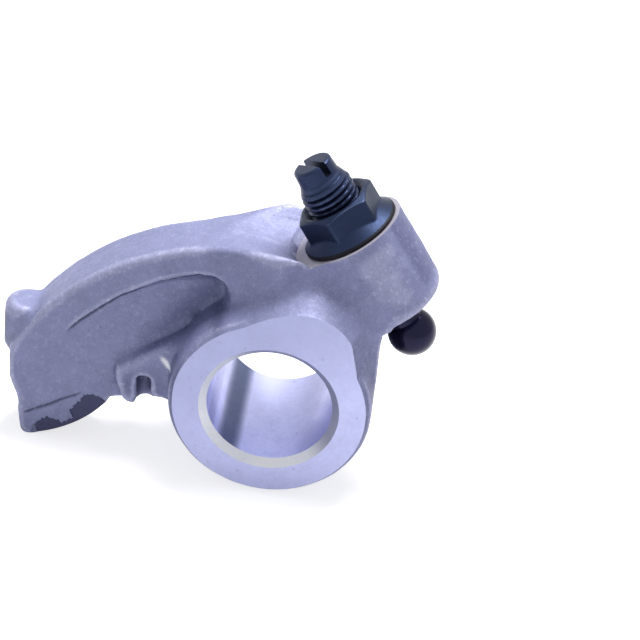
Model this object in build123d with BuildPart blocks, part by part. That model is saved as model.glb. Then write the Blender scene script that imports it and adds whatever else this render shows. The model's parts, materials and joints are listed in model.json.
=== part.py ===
"""Rocker arm: an aluminium casting with a cast-in cam pad, a ball-ended adjusting screw and its
flanged lock nut. Millimetres.

The origin is the middle of the shaft bore. +Y runs along the bore, +X points to the adjusting
screw and +Z is up, as the arm stands on its ring and on the heel of its cam pad.
"""
import os
from math import asin, cos, radians, sin, sqrt, tan

from build123d import *

os.makedirs("parts", exist_ok=True)

# ---------------------------------------------------------------- driving dimensions
# shaft ring
bore_diameter = 18.9
bore_chamfer = 1.1
ring_length = 24.0
ring_radius = 15.3
ring_edge = 0.9

# screw boss: its axis leans away from the screw end and passes the bore axis at screw_offset;
# a round dish in the plate's back leads down to a flared recess round the nut and ends in it
screw_lean = 34.2
screw_offset = 21.65
seat_height = 16.17
boss_radius = 8.1
boss_height = 14.2
boss_round = 1.8
recess_margin = 1.9
recess_taper = 15.0
dish_radius = 12.5
dish_start_x = -9.5
dish_start_z = 23.1
dish_inset = 0.95
dish_rise = 0.18

# plate between the pad and the boss; its back is an arc up to the knee, then runs on to the boss,
# where it ends crown_drop below the middle of the seat
arm_half_width = 4.9
back_radius = 40.0
back_round = 1.0
knee_x = -16.0
knee_z = 21.0
flare_half_width = 8.6
crown_drop = 0.7

# cam pad, from the centre of its contact arc; angles start straight down and open to the ring
pad_reach = 41.4
pad_radius = 20.0
pad_thickness = 3.3
insert_heel_angle = 16.5
insert_toe_angle = 53.5
key_height = 1.4
key_width = 5.0
key_angle = 6.0
key_flare = 2.0
carrier_thickness = 4.7
heel_angle = 8.8
heel_round = 1.2
toe_angle = 56.0

# side pockets: flush at the pad end, deepest against the ring, the floor leaning in at the foot
pocket_start = 7.0
pocket_dip = 0.3
pocket_end = -7.8
pocket_roof_start = 3.0
pocket_roof_end = 17.9
pocket_corner = 2.6
pocket_round = 0.9
web_top = 4.1
web_foot = -2.6

# rail under the pockets, its lug and the notch beside it
rail_half_width = 6.5
rail_round = 1.0
rail_top = 10.4
lug_drop = 6.0
notch_radius = 1.05
notch_top = -0.9

# shoulder between the ring and the boss, and the knob above the pad
core_half_width = 7.5
shoulder_round = 2.5
root_round = 1.0
knob_radius = 3.7
knob_height = 8.0
knob_round = 1.4

# thread and nut
thread_diameter = 8.0
thread_clearance = 0.05
nut_wall = 1.5
nut_height = 5.6
nut_turn = 25.5
nut_flange_lip = 1.8
nut_flange_height = 2.2
nut_rim = 0.6
nut_chamfer = 0.6
nut_land = 0.3

# adjusting screw; tip, neck and ball are slimmer than the thread, so that they pass the hole
screw_above_seat = 12.3
screw_tip_inset = 1.0
screw_tip_length = 2.4
tip_round = 0.5
thread_start = 4.4
thread_end_chamfer = 0.8
slot_width = 1.1
slot_depth = 2.0
slot_turn = -45.0
neck_inset = 1.3
neck_gap = 0.3
ball_inset = 0.3
ball_drop = 19.46

# ---------------------------------------------------------------- places worked out from them
half_length = ring_length / 2
hole_radius = thread_diameter / 2 + thread_clearance
screw_tip_radius = thread_diameter / 2 - screw_tip_inset
neck_radius = thread_diameter / 2 - neck_inset
ball_radius = thread_diameter / 2 - ball_inset
nut_across_flats = thread_diameter + 2 * nut_wall
nut_flange_radius = nut_across_flats / 2 + nut_flange_lip
recess_radius = nut_flange_radius + recess_margin
lean = radians(screw_lean)
axis_way = Vector(-sin(lean), 0, cos(lean))
across_way = Vector(cos(lean), 0, sin(lean))
foot = across_way * screw_offset
boss_plane = Plane(origin=foot, x_dir=across_way, z_dir=axis_way)
boss_section = Plane(origin=foot, x_dir=across_way, z_dir=(0, -1, 0))
boss_axis = Axis(foot, axis_way)
seat = foot + axis_way * seat_height
dish_start = Vector(dish_start_x, 0, dish_start_z)
dish_end = seat - across_way * (recess_radius - dish_inset) + axis_way * dish_rise
dish_plane = Plane(origin=dish_start, x_dir=(0, 1, 0), z_dir=dish_end - dish_start)
boss_foot = foot + axis_way * (seat_height - boss_height)

# the pad's heel stands level with the bottom of the ring
heel_lean = radians(heel_angle) + asin(heel_round / (pad_radius - heel_round))
pad_x = -pad_reach
pad_z = heel_round + (pad_radius - heel_round) * cos(heel_lean) - ring_radius
carrier_inner = pad_radius - carrier_thickness
pad_inner = pad_radius - pad_thickness
pad_middle = (insert_heel_angle + insert_toe_angle) / 2


def from_pad(radius, angle):
    """A point at a radius and an angle, measured from straight down, about the pad arc's centre."""
    turn = radians(angle)
    return (pad_x + radius * sin(turn), pad_z - radius * cos(turn))


def from_bore(extra, angle):
    """A point at a distance outside the ring and an angle about the bore."""
    turn = radians(angle)
    reach = ring_radius + extra
    return (reach * cos(turn), reach * sin(turn))


def pad_sector(inner, outer, start, end):
    """A ring sector about the pad arc's centre."""
    middle = (start + end) / 2
    with BuildSketch(Plane.XZ) as sector:
        with BuildLine():
            ThreePointArc(from_pad(outer, start), from_pad(outer, middle), from_pad(outer, end))
            Line(from_pad(outer, end), from_pad(inner, end))
            ThreePointArc(from_pad(inner, end), from_pad(inner, middle), from_pad(inner, start))
            Line(from_pad(inner, start), from_pad(outer, start))
        make_face()
    return sector.sketch


pocket_x = pad_x + pocket_start
lug_x = from_pad(pad_radius, toe_angle)[0] + 0.5
notch_x = lug_x + 4.8

# ---------------------------------------------------------------- arm body
# one side pocket, cut as deep as the ring is long
with BuildPart() as pocket:
    for section_x, floor_top, floor_foot in (
        (pocket_x, arm_half_width, arm_half_width),
        (lug_x, arm_half_width - 2 * pocket_dip, arm_half_width - pocket_dip),
        (pocket_end, web_top, web_foot),
    ):
        with BuildSketch(Plane.YZ.offset(section_x)):
            with BuildLine():
                Polyline(
                    (-floor_top, knee_z),
                    (-floor_foot, -ring_radius),
                    (-half_length, -ring_radius),
                    (-half_length, knee_z),
                    close=True,
                )
            make_face()
    loft()
    with BuildSketch(Plane.XZ) as pocket_side:
        with BuildLine():
            roof = RadiusArc((pocket_x, pocket_roof_start), (pocket_end, pocket_roof_end), back_radius)
            Polyline(
                roof @ 1,
                (pocket_end, rail_top - rail_round),
                (lug_x, -lug_drop),
                (pocket_x, -ring_radius),
                roof @ 0,
            )
        make_face()
        fillet(pocket_side.vertices().group_by(Axis.X)[-1].sort_by(Axis.Y)[-1], pocket_corner)
    extrude(amount=half_length, both=True, mode=Mode.INTERSECT)
    floor = pocket.faces().sort_by(lambda face: face.normal_at().Y)[-1]
    fillet(floor.edges().filter_by(lambda e: e.center().Z > rail_top), pocket_round)

# plate from the pad end to the boss, with a pocket on each side
with BuildPart() as plate:
    with BuildSketch(Plane.XZ):
        with BuildLine():
            back = RadiusArc((pad_x + 0.8, pad_z - 4.0), (knee_x, knee_z), back_radius)
            crown = TangentArc(back @ 1, (seat.X, seat.Z - crown_drop), tangent=back % 1)
            Polyline(
                crown @ 1,
                (boss_foot.X, boss_foot.Z),
                (ring_radius, boss_foot.Z - (boss_foot.X - ring_radius) * tan(lean)),
                (ring_radius, 0),
                (0, -3),
                (lug_x + 1.8, -5.9),
                (lug_x + 0.7, -6.3),
                from_pad(pad_radius - 1, toe_angle - 1),
                from_pad(carrier_inner + 1, heel_angle + 2),
                (pad_x + 1.0, pad_z - 9.2),
                back @ 0,
            )
        make_face()
    extrude(amount=half_length, both=True)
    with BuildSketch(Plane.XY):
        with BuildLine():
            edge = Line((pad_x - knob_radius, arm_half_width), (knee_x, arm_half_width))
            flare = Spline(
                edge @ 1,
                (-5.0, 7.1),
                (-0.6, flare_half_width),
                (3.6, flare_half_width - 1.3),
                (seat.X + 3.0, boss_radius),
                tangents=((1, 0), (1, 0)),
            )
            Polyline(
                flare @ 1,
                (screw_offset, boss_radius),
                (screw_offset, 0),
                (pad_x - knob_radius, 0),
                edge @ 0,
            )
        make_face()
        mirror(about=Plane.XZ)
    extrude(amount=2 * back_radius, both=True, mode=Mode.INTERSECT)
    ridges = plate.edges().filter_by(
        lambda e: e.geom_type != GeomType.LINE
        and abs(e.center().Y) > arm_half_width - back_round
        and e.center().Z > rail_top
        and e.center().X < seat.X - 2
    )
    fillet(ridges, back_round)
    add(pocket.part, mode=Mode.SUBTRACT)
    add(mirror(pocket.part, about=Plane.XZ), mode=Mode.SUBTRACT)

# rail under the pockets, with the small lug at its pad end
with BuildPart() as rail:
    with BuildSketch(Plane.XZ):
        with BuildLine():
            lug = Polyline((lug_x, 0.2), (lug_x + 0.3, -1.6), (lug_x + 1.6, -5.2))
            under = ThreePointArc(lug @ 1, (lug_x + 3.0, -lug_drop), (lug_x + 4.5, -5.3))
            hollow = ThreePointArc(under @ 1, (lug_x + 6.7, -4.3), from_bore(1.2, 214.7))
            Polyline(hollow @ 1, (0, 0), (pocket_end - 0.6, rail_top), lug @ 0)
        make_face()
    extrude(amount=rail_half_width, both=True)
    upper_edges = rail.edges().filter_by(Plane.XZ).filter_by(
        lambda e: e.center().X < pocket_end and e.center().Z > 0
    )
    fillet(upper_edges, rail_round)

# shoulder that joins the ring to the boss: straight in the middle, tapering to the ring's faces
with BuildPart() as shoulder:
    for side in (1, -1):
        with BuildSketch(Plane.XZ.offset(side * core_half_width)) as root:
            with BuildLine():
                crest = Spline(
                    from_bore(-1.0, 122), from_bore(1.6, 103), from_bore(4.2, 82), from_bore(5.7, 50)
                )
                Polyline(crest @ 1, from_bore(3.4, 35), from_bore(-3.0, 6), (0, 0), crest @ 0)
            make_face()
            fillet(root.vertices().sort_by(Axis.X)[-3:], shoulder_round)
        with BuildSketch(Plane.XZ.offset(side * half_length)) as face:
            with BuildLine():
                crest = Spline(
                    from_bore(-1.2, 117), from_bore(0.1, 99), from_bore(2.3, 76), from_bore(1.9, 50)
                )
                Polyline(crest @ 1, from_bore(-0.6, 33), from_bore(-3.0, 6), (0, 0), crest @ 0)
            make_face()
            fillet(face.vertices().sort_by(Axis.X)[-3:], shoulder_round)
        loft([root.sketch.face(), face.sketch.face()], ruled=True)
        extrude(root.sketch, amount=-side * core_half_width)

with BuildPart() as ring:
    with BuildSketch(Plane.XZ):
        Circle(ring_radius)
    extrude(amount=half_length, both=True)
    chamfer(ring.edges().filter_by(GeomType.CIRCLE), ring_edge)

with BuildPart() as boss:
    with BuildSketch(boss_plane.offset(seat_height - boss_height)):
        Circle(boss_radius)
    extrude(amount=boss_height)
    fillet(boss.edges().filter_by(GeomType.CIRCLE).sort_by(Axis.Z)[0], boss_round)

# knob that ends the casting above the pad
with BuildPart() as knob:
    with BuildSketch(Plane.XY.offset(pad_z - 5.7)):
        with Locations((pad_x + knob_radius - 0.8, 0)):
            Circle(knob_radius)
    extrude(amount=knob_height)
    fillet(knob.edges().filter_by(GeomType.CIRCLE).sort_by(Axis.Z)[-1], knob_round)

# carrier that holds the cam pad
with BuildPart() as carrier:
    carrier_side = pad_sector(carrier_inner, pad_radius, heel_angle, toe_angle)
    extrude(carrier_side, amount=arm_half_width, both=True)
    fillet(carrier.edges().filter_by(Axis.Y).sort_by(Axis.Z)[0], heel_round)

# ---------------------------------------------------------------- cam pad, cast into the arm
with BuildPart() as cam_pad:
    extrude(
        pad_sector(pad_inner, pad_radius, insert_heel_angle, insert_toe_angle),
        amount=arm_half_width,
        both=True,
    )
    with BuildSketch(Plane.XZ):
        with BuildLine():
            Polyline(
                from_pad(pad_inner + key_height / 2, pad_middle - key_angle + key_flare),
                from_pad(pad_inner - key_height, pad_middle - key_angle - key_flare),
                from_pad(pad_inner - key_height, pad_middle + key_angle + key_flare),
                from_pad(pad_inner + key_height / 2, pad_middle + key_angle - key_flare),
                close=True,
            )
        make_face()
    extrude(amount=key_width / 2, both=True)

with BuildPart() as arm_body:
    for form in (plate, rail, carrier, knob, ring, shoulder, boss):
        add(form.part)
    rail_roots = arm_body.edges().filter_by(
        lambda e: e.geom_type == GeomType.CIRCLE
        and abs(e.radius - ring_radius) < 0.01
        and abs(abs(e.center().Y) - rail_half_width) < 0.01
    )
    fillet(rail_roots, root_round)
    # seat of the cam pad, and the notch beside the lug
    add(cam_pad.part, mode=Mode.SUBTRACT)
    with BuildSketch(Plane.XY.offset(notch_top)):
        with Locations((notch_x, -rail_half_width)):
            SlotCenterToCenter(2 * notch_radius, 2 * notch_radius, rotation=90)
    extrude(amount=-ring_radius, mode=Mode.SUBTRACT)
    # dish that leads down to the nut recess, then the recess, the bore and the screw hole
    with BuildSketch(dish_plane):
        with Locations((0, dish_radius)):
            Circle(dish_radius)
    extrude(amount=(dish_end - dish_start).length, mode=Mode.SUBTRACT)
    with BuildSketch(Plane.XZ):
        Circle(bore_diameter / 2)
    extrude(amount=half_length, both=True, mode=Mode.SUBTRACT)
    bore_rims = arm_body.edges().filter_by(
        lambda e: e.geom_type == GeomType.CIRCLE
        and abs(e.radius - bore_diameter / 2) < 0.01
        and abs(e.arc_center.Y) > half_length - 0.01
    )
    chamfer(bore_rims, bore_chamfer)
    with BuildSketch(boss_plane.offset(seat_height)):
        Circle(recess_radius)
    extrude(amount=boss_height, taper=-recess_taper, mode=Mode.SUBTRACT)
    with BuildSketch(boss_plane.offset(seat_height)):
        Circle(hole_radius)
    extrude(amount=-2 * boss_height, mode=Mode.SUBTRACT)

# ---------------------------------------------------------------- adjusting screw
tip = seat_height + screw_above_seat
thread_end = seat_height - boss_height - neck_gap
ball_height = seat_height - ball_drop
with BuildPart() as adjusting_screw:
    with BuildSketch(boss_section):
        with BuildLine():
            shank = Polyline(
                (0, tip),
                (screw_tip_radius - tip_round, tip),
                (screw_tip_radius, tip - tip_round),
                (screw_tip_radius, tip - screw_tip_length),
                (thread_diameter / 2, tip - thread_start),
                (thread_diameter / 2, thread_end + thread_end_chamfer),
                (thread_diameter / 2 - thread_end_chamfer, thread_end),
                (neck_radius, thread_end),
                (neck_radius, ball_height + sqrt(ball_radius**2 - neck_radius**2)),
            )
            ball = ThreePointArc(shank @ 1, (ball_radius, ball_height), (0, ball_height - ball_radius))
            Line(ball @ 1, shank @ 0)
        make_face()
    revolve(axis=boss_axis)
    with BuildSketch(boss_plane.offset(tip)):
        Rectangle(3 * screw_tip_radius, slot_width, rotation=slot_turn)
    extrude(amount=-slot_depth, mode=Mode.SUBTRACT)

# ---------------------------------------------------------------- lock nut
nut_top = seat_height + nut_height
land_radius = nut_across_flats / 2 - nut_land
with BuildPart() as lock_nut:
    with BuildSketch(boss_plane.offset(seat_height)):
        RegularPolygon(nut_across_flats / 2, 6, major_radius=False, rotation=nut_turn)
    extrude(amount=nut_height)
    # a 30 degree cone trims the corners
    with BuildSketch(boss_section):
        with BuildLine():
            Polyline(
                (0, seat_height),
                (nut_across_flats, seat_height),
                (nut_across_flats, nut_top - (nut_across_flats - land_radius) * tan(radians(30))),
                (land_radius, nut_top),
                (0, nut_top),
                close=True,
            )
        make_face()
    revolve(axis=boss_axis, mode=Mode.INTERSECT)
    with BuildSketch(boss_section):
        with BuildLine():
            Polyline(
                (0, seat_height),
                (nut_flange_radius, seat_height),
                (nut_flange_radius, seat_height + nut_rim),
                (land_radius, seat_height + nut_flange_height),
                (0, seat_height + nut_flange_height),
                close=True,
            )
        make_face()
    revolve(axis=boss_axis)
    with BuildSketch(boss_plane.offset(seat_height)):
        Circle(hole_radius)
    extrude(amount=nut_height, mode=Mode.SUBTRACT)
    chamfer(
        lock_nut.edges().filter_by(
            lambda e: e.geom_type == GeomType.CIRCLE and abs(e.radius - hole_radius) < 0.01
        ),
        nut_chamfer,
    )

for name, piece in (
    ("arm_body", arm_body),
    ("cam_pad", cam_pad),
    ("adjusting_screw", adjusting_screw),
    ("lock_nut", lock_nut),
):
    piece.part.label = name
    export_step(piece.part, f"parts/{name}.step")
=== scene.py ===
"""Rocker arm: the looks of the casting, its cam pad, the threaded adjusting screw and the lock nut.

Shapes are worked out in millimetres and put into the meshes in metres, in the frame of the CAD model.
The origin is the middle of the shaft bore, +Y runs along the bore, +X points to the screw and +Z is up.
"""
import json
from math import asin, cos, pi, radians, sin, tan

import bpy
import numpy as np
from mathutils import Matrix, Vector


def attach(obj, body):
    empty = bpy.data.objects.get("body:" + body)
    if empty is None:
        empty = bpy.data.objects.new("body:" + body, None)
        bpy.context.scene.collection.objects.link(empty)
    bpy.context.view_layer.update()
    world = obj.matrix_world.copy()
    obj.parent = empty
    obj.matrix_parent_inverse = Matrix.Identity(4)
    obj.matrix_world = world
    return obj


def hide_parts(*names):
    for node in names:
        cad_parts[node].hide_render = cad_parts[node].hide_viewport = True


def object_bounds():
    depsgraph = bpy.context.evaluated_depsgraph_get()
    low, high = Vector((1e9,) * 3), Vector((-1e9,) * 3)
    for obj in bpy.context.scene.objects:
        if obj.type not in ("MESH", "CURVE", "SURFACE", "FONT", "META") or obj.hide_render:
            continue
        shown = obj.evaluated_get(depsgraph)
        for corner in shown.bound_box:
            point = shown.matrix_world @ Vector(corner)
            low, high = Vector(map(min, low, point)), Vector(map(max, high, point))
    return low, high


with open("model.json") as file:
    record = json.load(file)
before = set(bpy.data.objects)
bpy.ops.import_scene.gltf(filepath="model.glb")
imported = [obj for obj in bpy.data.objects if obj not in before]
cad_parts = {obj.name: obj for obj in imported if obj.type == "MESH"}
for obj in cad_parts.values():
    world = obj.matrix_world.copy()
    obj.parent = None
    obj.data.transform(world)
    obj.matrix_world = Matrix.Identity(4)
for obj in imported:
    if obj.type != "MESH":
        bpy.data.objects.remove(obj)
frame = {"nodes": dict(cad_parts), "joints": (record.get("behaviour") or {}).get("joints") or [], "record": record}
cad_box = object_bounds()

MM = 0.001
mounts = {mount["name"]: mount for mount in frame["record"]["mounts"]}
joints = {joint["name"]: joint for joint in frame["joints"]}

# ---------------------------------------------------------------- sizes read from the frame, in mm
BORE_RADIUS = mounts["shaft_bore"]["dims"]["r_mm"]
BORE_LENGTH = mounts["shaft_bore"]["dims"]["length_mm"]
FACE_Y = mounts["thrust_face_back"]["pos_m"][1] / MM
BORE_CHAMFER = FACE_Y - BORE_LENGTH / 2
FLOOR_Z = cad_box[0].z / MM
# the nut's seat, the screw's axis and two directions square to it, which make a left-handed set with it
SEAT = np.array(joints["nut_turn"]["pos_m"]) / MM
AXIS = np.array(joints["screw_adjust"]["axis"])
ACROSS = np.array([AXIS[2], 0.0, -AXIS[0]])
SIDE = np.array([0.0, -1.0, 0.0])
CAD_LOW, CAD_HIGH = (np.array([corner.x, corner.z]) / MM for corner in cad_box)

# the screw, the nut and the boss: heights are along the screw from the nut's seat, radii are about it
TIP_HEIGHT = 12.3
TIP_RADIUS = 3.0
TIP_LENGTH = 2.4
CONE_LENGTH = 4.4
THREAD_END = -14.5
THREAD_RADIUS = 4.0
THREAD_PITCH = 0.95
THREAD_DEPTH = 0.6
NECK_RADIUS = 2.7
BALL_HEIGHT = -19.46
BALL_RADIUS = 3.7
SLOT_WIDTH = 1.1
SLOT_DEPTH = 2.0
BOSS_HEIGHT = 14.2
HOLE_RADIUS = 4.05
RECESS_RADIUS = 9.2
RECESS_TAPER = 15.0
BOSS_RADIUS = 8.1
NUT_HEIGHT = 5.6
NUT_FLATS = 11.0
FLANGE_RADIUS = 7.45
FLANGE_HEIGHT = 2.2
FLANGE_RIM = 0.6
NUT_CORNER = 34.5

# cam pad: an arc about its own centre, with angles that start straight down and open to the ring
PAD_CENTRE = np.array([-41.4, 4.257])
PAD_RADIUS = 20.0
PAD_THICKNESS = 3.3
PAD_ANGLES = (16.5, 53.5)
ARM_HALF_WIDTH = 4.9

BORE_AXIS, BORE_ACROSS, BORE_SIDE = np.array([0, 1.0, 0]), np.array([1.0, 0, 0]), np.array([0, 0, -1.0])
chance = np.random.default_rng(7)


# ---------------------------------------------------------------- mesh helpers
def mesh_piece(name, points, faces, smooth_angle=None):
    """A mesh object from points in mm and a list of faces."""
    mesh = bpy.data.meshes.new(name)
    mesh.from_pydata((np.asarray(points) * MM).tolist(), [], [list(map(int, face)) for face in faces])
    mesh.update()
    piece = bpy.data.objects.new(name, mesh)
    bpy.context.scene.collection.objects.link(piece)
    mesh.shade_smooth()
    if smooth_angle:
        mesh.set_sharp_from_angle(angle=radians(smooth_angle))
    return piece


def tube_faces(rows, columns, closed=False):
    """Quads of a grid whose columns close on themselves, and its rows too if closed; the normals point
    out where rows run along the axis and columns turn by the right-hand rule about it."""
    row, column = np.meshgrid(np.arange(rows if closed else rows - 1), np.arange(columns), indexing="ij")
    below, after = (row + 1) % rows, (column + 1) % columns
    quads = [row * columns + column, row * columns + after, below * columns + after, below * columns + column]
    return np.stack(quads, -1).reshape(-1, 4).tolist()


def facing_out(faces, axis, across, side):
    """The faces as they are, or all turned over where across, side and axis make a left-handed set."""
    return faces if np.cross(across, side) @ axis > 0 else [face[::-1] for face in faces]


def turned_points(origin, axis, across, side, heights, radii, turn):
    """Points origin + h axis + r (cos t across + sin t side), for arrays of height h, radius r, turn t."""
    return (
        origin
        + heights[..., None] * axis
        + (radii * np.cos(turn))[..., None] * across
        + (radii * np.sin(turn))[..., None] * side
    )


def turned(name, origin, axis, across, side, heights, radii, columns=128, smooth_angle=35.0):
    """A closed solid of revolution: at each height h along the axis a circle of radius r. heights and radii
    may also be arrays with one column per angle. Both ends are closed by a pole."""
    turn = np.linspace(0, 2 * pi, columns, endpoint=False)
    heights, radii = (np.asarray(a, float) for a in (heights, radii))
    if heights.ndim == 1:
        heights = np.repeat(heights[:, None], columns, 1)
    if radii.ndim == 1:
        radii = np.repeat(radii[:, None], columns, 1)
    points = turned_points(origin, axis, across, side, heights, radii, turn)
    rows = len(heights)
    poles = [origin + axis * heights[0].mean(), origin + axis * heights[-1].mean()]
    points = np.vstack([points.reshape(-1, 3), poles])
    faces = tube_faces(rows, columns)
    ring = np.arange(columns)
    after = (ring + 1) % columns
    top = (rows - 1) * columns
    faces += np.stack([np.full(columns, rows * columns), after, ring], -1).tolist()
    faces += np.stack([np.full(columns, rows * columns + 1), top + ring, top + after], -1).tolist()
    return mesh_piece(name, points, facing_out(faces, axis, across, side), smooth_angle)


def prism(name, outline, low, high):
    """A closed prism between y = low and y = high over an outline of x, z points."""
    outline = np.asarray(outline, float)
    after = np.roll(outline, -1, 0)
    if (outline[:, 0] * after[:, 1] - after[:, 0] * outline[:, 1]).sum() < 0:
        outline = outline[::-1]
    count = len(outline)
    ends = [np.stack([outline[:, 0], np.full(count, y), outline[:, 1]], -1) for y in (low, high)]
    ring = np.arange(count)
    after = (ring + 1) % count
    faces = [ring.tolist(), (ring[::-1] + count).tolist()]
    faces += np.stack([ring, ring + count, after + count, after], -1).tolist()
    return mesh_piece(name, np.vstack(ends), faces)


def apply_modifiers(piece):
    """Turns the modifiers of a piece into its own mesh."""
    graph = bpy.context.evaluated_depsgraph_get()
    result = piece.evaluated_get(graph)
    mesh = bpy.data.meshes.new_from_object(result, preserve_all_data_layers=True, depsgraph=graph)
    piece.modifiers.clear()
    old, piece.data = piece.data, mesh
    bpy.data.meshes.remove(old)


def cut(piece, cutters):
    """Cuts closed cutters out of a piece, one after another; new faces take the cutter's material."""
    for cutter in cutters:
        modifier = piece.modifiers.new("cut", "BOOLEAN")
        modifier.operation, modifier.solver, modifier.object = "DIFFERENCE", "EXACT", cutter
        modifier.material_mode = "TRANSFER"
        apply_modifiers(piece)
        bpy.data.objects.remove(cutter)


def read_points(mesh):
    """A mesh's points, in mm."""
    points = np.empty(len(mesh.vertices) * 3)
    mesh.vertices.foreach_get("co", points)
    return points.reshape(-1, 3) / MM


def write_points(mesh, points):
    """Moves a mesh's points to new places, given in mm."""
    mesh.vertices.foreach_set("co", (points * MM).reshape(-1))
    mesh.update()


def write_value(mesh, name, values):
    """Stores a number for each point, for the materials to read."""
    layer = mesh.attributes.get(name) or mesh.attributes.new(name, "FLOAT", "POINT")
    layer.data.foreach_set("value", values.astype(np.float32))


def screw_heights(mesh):
    """The height of each point of a mesh along the screw, from its seat on the boss."""
    return (read_points(mesh) - SEAT) @ AXIS


def faces_within(mesh, mask):
    """True for each face whose points are all in the mask."""
    return np.array([mask[list(face.vertices)].all() for face in mesh.polygons])


def two_materials(piece, first, second, takes_second):
    """Gives a piece two materials; the last argument says for each face whether it takes the second."""
    piece.data.materials.append(first)
    piece.data.materials.append(second)
    piece.data.polygons.foreach_set("material_index", takes_second.astype(int))


def smooth_step(value, low, high):
    """0 below low, 1 above high and a smooth cubic between."""
    part = np.clip((value - low) / (high - low), 0, 1)
    return part * part * (3 - 2 * part)


def bell(offset, reach):
    """1 at no offset, falling to 1/e at the reach and on towards 0."""
    return np.exp(-((offset / reach) ** 2))


# ---------------------------------------------------------------- material helpers
def linear(red, green, blue):
    """A colour written as 0-255 display values, in the linear values that nodes take."""
    value = np.array([red, green, blue]) / 255
    return tuple(np.where(value <= 0.04045, value / 12.92, ((value + 0.055) / 1.055) ** 2.4)) + (1.0,)


def set_inputs(tree, node, inputs):
    """Links each input given as a socket, and sets any other."""
    for name, value in inputs.items():
        if isinstance(value, bpy.types.NodeSocket):
            tree.links.new(value, node.inputs[name])
        else:
            node.inputs[name].default_value = value


def add(tree, kind, inputs, **settings):
    """Adds a node with its settings and its inputs."""
    node = tree.nodes.new("ShaderNode" + kind)
    for name, value in settings.items():
        setattr(node, name, value)
    set_inputs(tree, node, inputs)
    return node


def math(tree, operation, first, second=0.0):
    """A Math node with one or two inputs."""
    return add(tree, "Math", {0: first, 1: second}, operation=operation).outputs[0]


def scaled(tree, value, factor, offset):
    """The value times the factor, plus the offset."""
    return add(tree, "Math", {0: value, 1: factor, 2: offset}, operation="MULTIPLY_ADD").outputs[0]


def ramp(tree, value, low, high, to_low=0.0, to_high=1.0):
    """A smooth step of a value between low and high."""
    inputs = {"Value": value, "From Min": low, "From Max": high, "To Min": to_low, "To Max": to_high}
    return add(tree, "MapRange", inputs, interpolation_type="SMOOTHSTEP").outputs[0]


def mix(tree, factor, first, second, blend="MIX"):
    """A colour mix; the colours are sockets or RGBA values."""
    inputs = {0: factor, 6: first, 7: second}
    return add(tree, "Mix", inputs, data_type="RGBA", blend_type=blend).outputs[2]


def noise(tree, place, scale, detail, roughness):
    """Noise between 0 and 1; the scale is in features per mm."""
    inputs = {"Vector": place, "Scale": scale / MM, "Detail": detail, "Roughness": roughness}
    return add(tree, "TexNoise", inputs).outputs[0]


def specks(tree, place, scale, outer, inner, channel):
    """A mask of small round specks, at the middles of a few of a Voronoi pattern's cells. A speck is full
    inside the inner distance and ends at the outer one; a channel of the cells' random colour picks them."""
    cells = add(tree, "TexVoronoi", {"Vector": place, "Scale": scale / MM, "Randomness": 1.0}).outputs
    draw = add(tree, "SeparateColor", {0: cells["Color"]}).outputs[channel]
    speck = ramp(tree, cells["Distance"], outer, inner)
    return math(tree, "MULTIPLY", speck, ramp(tree, draw, 0.86, 0.9))


def grit_group():
    """Cast or blasted skin: Tone is a soft blotchy value about 1, Bright and Dark are masks of small specks,
    and Height is the relief for a bump. Size scales every feature."""
    group = bpy.data.node_groups.new("grit", "ShaderNodeTree")
    new_socket = group.interface.new_socket
    new_socket("Place", in_out="INPUT", socket_type="NodeSocketVector")
    new_socket("Size", in_out="INPUT", socket_type="NodeSocketFloat").default_value = 1.0
    for name in ("Tone", "Bright", "Dark", "Height"):
        new_socket(name, in_out="OUTPUT", socket_type="NodeSocketFloat")
    given, out = group.nodes.new("NodeGroupInput").outputs, group.nodes.new("NodeGroupOutput").inputs
    inverse = math(group, "DIVIDE", 1.0, given["Size"])
    inputs = {0: given["Place"], "Scale": inverse}
    place = add(group, "VectorMath", inputs, operation="SCALE").outputs[0]
    blotch = noise(group, place, 0.22, 4.0, 0.6)
    cloud = noise(group, place, 0.8, 3.0, 0.6)
    grain = noise(group, place, 3.2, 4.0, 0.7)
    tone = math(group, "ADD", scaled(group, cloud, 0.22, -0.11), scaled(group, blotch, 0.34, 0.83))
    tone = math(group, "ADD", tone, scaled(group, grain, 0.42, -0.21))
    bright = specks(group, place, 1.9, 0.16, 0.06, 0)
    dark = specks(group, place, 1.3, 0.22, 0.08, 1)
    height = scaled(group, grain, 0.55, cloud)
    height = math(group, "SUBTRACT", height, math(group, "MULTIPLY", dark, 0.5))
    for name, socket in (("Tone", tone), ("Bright", bright), ("Dark", dark), ("Height", height)):
        group.links.new(socket, out[name])
    return group


def new_material(name, roughness, metallic):
    """A material with its Principled shader and Object coordinates."""
    material = bpy.data.materials.new(name)
    material.use_nodes = True
    tree = material.node_tree
    shader = tree.nodes["Principled BSDF"]
    set_inputs(tree, shader, {"Roughness": roughness, "Metallic": metallic})
    place = tree.nodes.new("ShaderNodeTexCoord").outputs["Object"]
    return material, tree, shader, place


def finish_material(tree, shader, colour, roughness, height, strength, distance):
    """Links a material's colour and roughness, and its height through a bump."""
    bump = add(tree, "Bump", {"Strength": strength, "Distance": distance, "Height": height}).outputs[0]
    set_inputs(tree, shader, {"Base Color": colour, "Roughness": roughness, "Normal": bump})


def use_grit(tree, place, size):
    """The outputs of the grit group at a place, with its features at a size."""
    node = tree.nodes.new("ShaderNodeGroup")
    node.node_tree = grit
    set_inputs(tree, node, {"Place": place, "Size": size})
    return node.outputs


def attribute(tree, name):
    """A number that the mesh holds for each of its points."""
    return add(tree, "Attribute", {}, attribute_name=name, attribute_type="GEOMETRY").outputs["Fac"]


def scaled_colour(tree, colour, value):
    """A colour times a value."""
    grey = add(tree, "CombineColor", {0: value, 1: value, 2: value}).outputs[0]
    return mix(tree, 1.0, colour, grey, "MULTIPLY")


grit = grit_group()


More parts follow.
